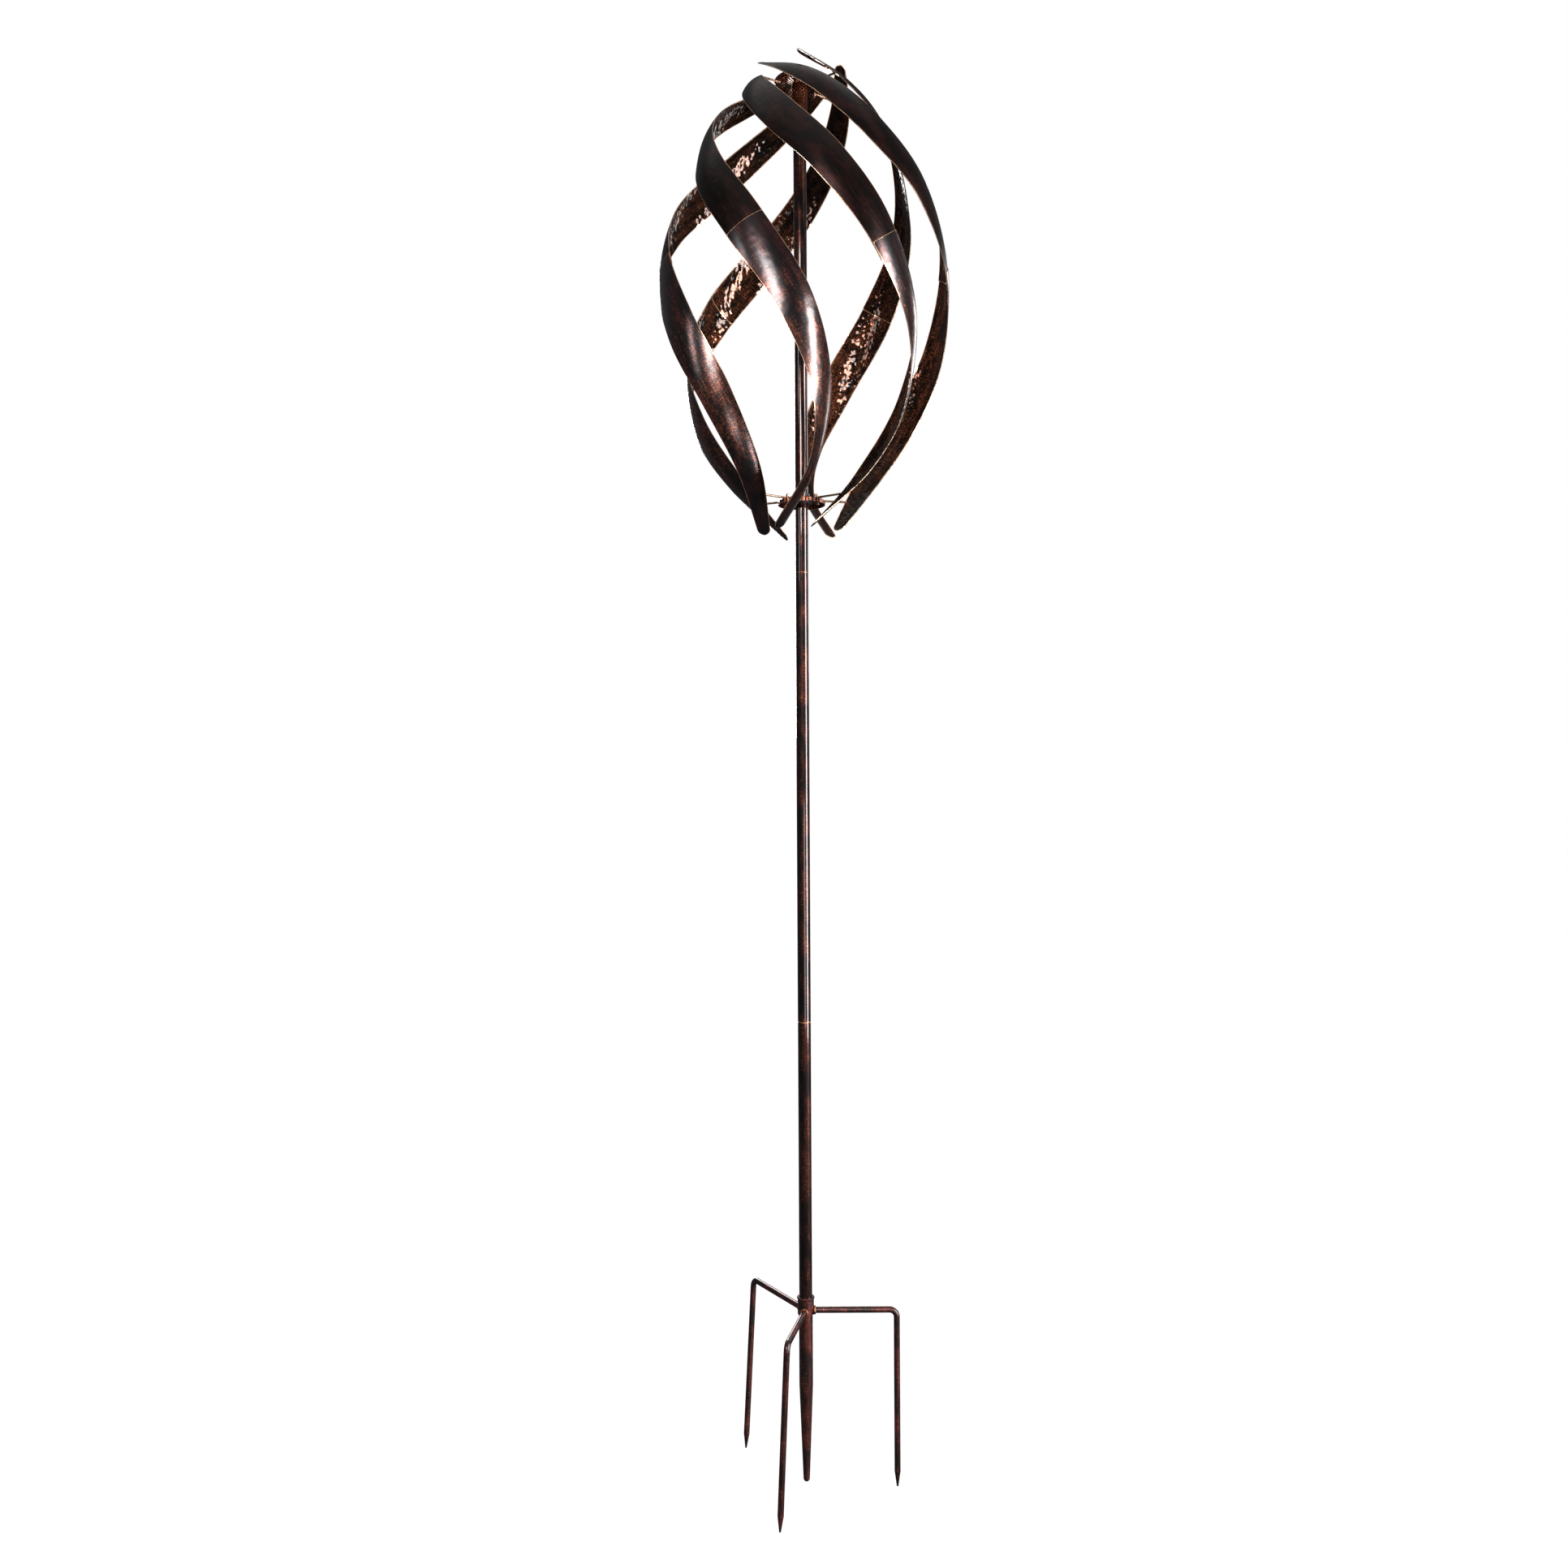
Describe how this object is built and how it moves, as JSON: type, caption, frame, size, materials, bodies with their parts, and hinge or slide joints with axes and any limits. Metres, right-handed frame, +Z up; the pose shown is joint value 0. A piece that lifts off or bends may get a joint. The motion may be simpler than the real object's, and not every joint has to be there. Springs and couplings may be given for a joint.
{
  "type": "kinetic wind spinner",
  "caption": "Garden wind spinner: long twisted copper-toned blades form an open egg-shaped rotor that turns on a slim pole with a pronged ground stake.",
  "frame": {"origin": "on the pole's axis at ground level, where the centre spike leaves the stake's collar", "axes": "+Z up along the pole, +X along the first prong's arm, +Y away from the side with the front prong"},
  "size_m": [0.3539, 0.3371, 1.7431],
  "materials": {
    "stake_steel": "dark bronze lacquer over steel, worn to copper at bends and welds",
    "pole_steel": "dark brown bronze lacquer with reddish streaks, glossy",
    "plain_steel": "turned steel",
    "hub_metal": "dark copper lacquer",
    "cup_brass": "turned brass",
    "bush_plastic": "black nylon",
    "blade_upper_metal": "hammered, dark bronze patina with copper showing through, lacquered",
    "blade_lower_metal": "hammered, brushed copper under a dark patina, lacquered",
    "arm_wire": "copper-toned wire, lacquered",
    "screw_steel": "small plated screws and nuts, toned brown"
  },
  "bodies": {
    "stand": {"ground_spike": "stake_steel", "stake_collar": "stake_steel", "prong_1": "stake_steel", "prong_2": "stake_steel", "prong_3": "stake_steel", "lower_pole": "pole_steel", "middle_pole": "pole_steel", "upper_pole": "pole_steel", "pole_plug": "plain_steel", "pivot_pin": "plain_steel"},
    "rotor": {"upper_hub": "hub_metal", "bearing_cup": "cup_brass", "lower_hub": "hub_metal", "lower_bush": "bush_plastic", "blade_1_upper": "blade_upper_metal", "blade_2_upper": "blade_upper_metal", "blade_3_upper": "blade_upper_metal", "blade_4_upper": "blade_upper_metal", "blade_5_upper": "blade_upper_metal", "blade_6_upper": "blade_upper_metal", "blade_1_lower": "blade_lower_metal", "blade_2_lower": "blade_lower_metal", "blade_3_lower": "blade_lower_metal", "blade_4_lower": "blade_lower_metal", "blade_5_lower": "blade_lower_metal", "blade_6_lower": "blade_lower_metal", "arm_1_upper": "arm_wire", "arm_2_upper": "arm_wire", "arm_3_upper": "arm_wire", "arm_4_upper": "arm_wire", "arm_5_upper": "arm_wire", "arm_6_upper": "arm_wire", "arm_1_lower": "arm_wire", "arm_2_lower": "arm_wire", "arm_3_lower": "arm_wire", "arm_4_lower": "arm_wire", "arm_5_lower": "arm_wire", "arm_6_lower": "arm_wire", "upper_screws": "screw_steel", "upper_nuts": "screw_steel", "lower_screws": "screw_steel", "lower_nuts": "screw_steel"}
  },
  "joints": [
    {"name": "rotor_spin", "type": "hinge", "parent": "stand", "child": "rotor", "pos_m": [0, 0, 1.5], "axis": [0, 0, 1], "continuous": true}
  ]
}
